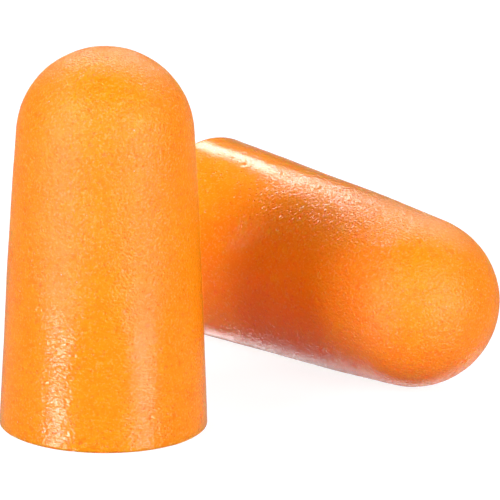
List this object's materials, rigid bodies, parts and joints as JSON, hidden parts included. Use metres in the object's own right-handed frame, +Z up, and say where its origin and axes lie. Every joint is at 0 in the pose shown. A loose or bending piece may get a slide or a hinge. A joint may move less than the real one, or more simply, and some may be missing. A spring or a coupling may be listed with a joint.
{
  "type": "foam ear plugs",
  "caption": "Tapered disposable foam ear plugs without a cord: one stands on its flat base, the other lies on its side; the round dome goes into the ear canal.",
  "frame": {"origin": "centre of the upright plug's flat base, on the surface that both plugs rest on", "axes": "+Z up along the upright plug's axis, from its base to its dome; +X to the viewer's right and +Y away from the viewer, with the lying plug behind and to the right, its dome pointing forward and to the right"},
  "size_m": [0.0315, 0.0326, 0.024],
  "materials": {
    "orange_foam": "soft matte skin of slow-recovery polyurethane foam"
  },
  "bodies": {
    "upright_plug": {"upright_plug": "orange_foam"},
    "lying_plug": {"lying_plug": "orange_foam"}
  },
  "joints": [
    {"name": "lying_plug_lift", "type": "slide", "parent": "upright_plug", "child": "lying_plug", "axis": [0, 0, 1], "range_m": [0, 0.03]}
  ]
}
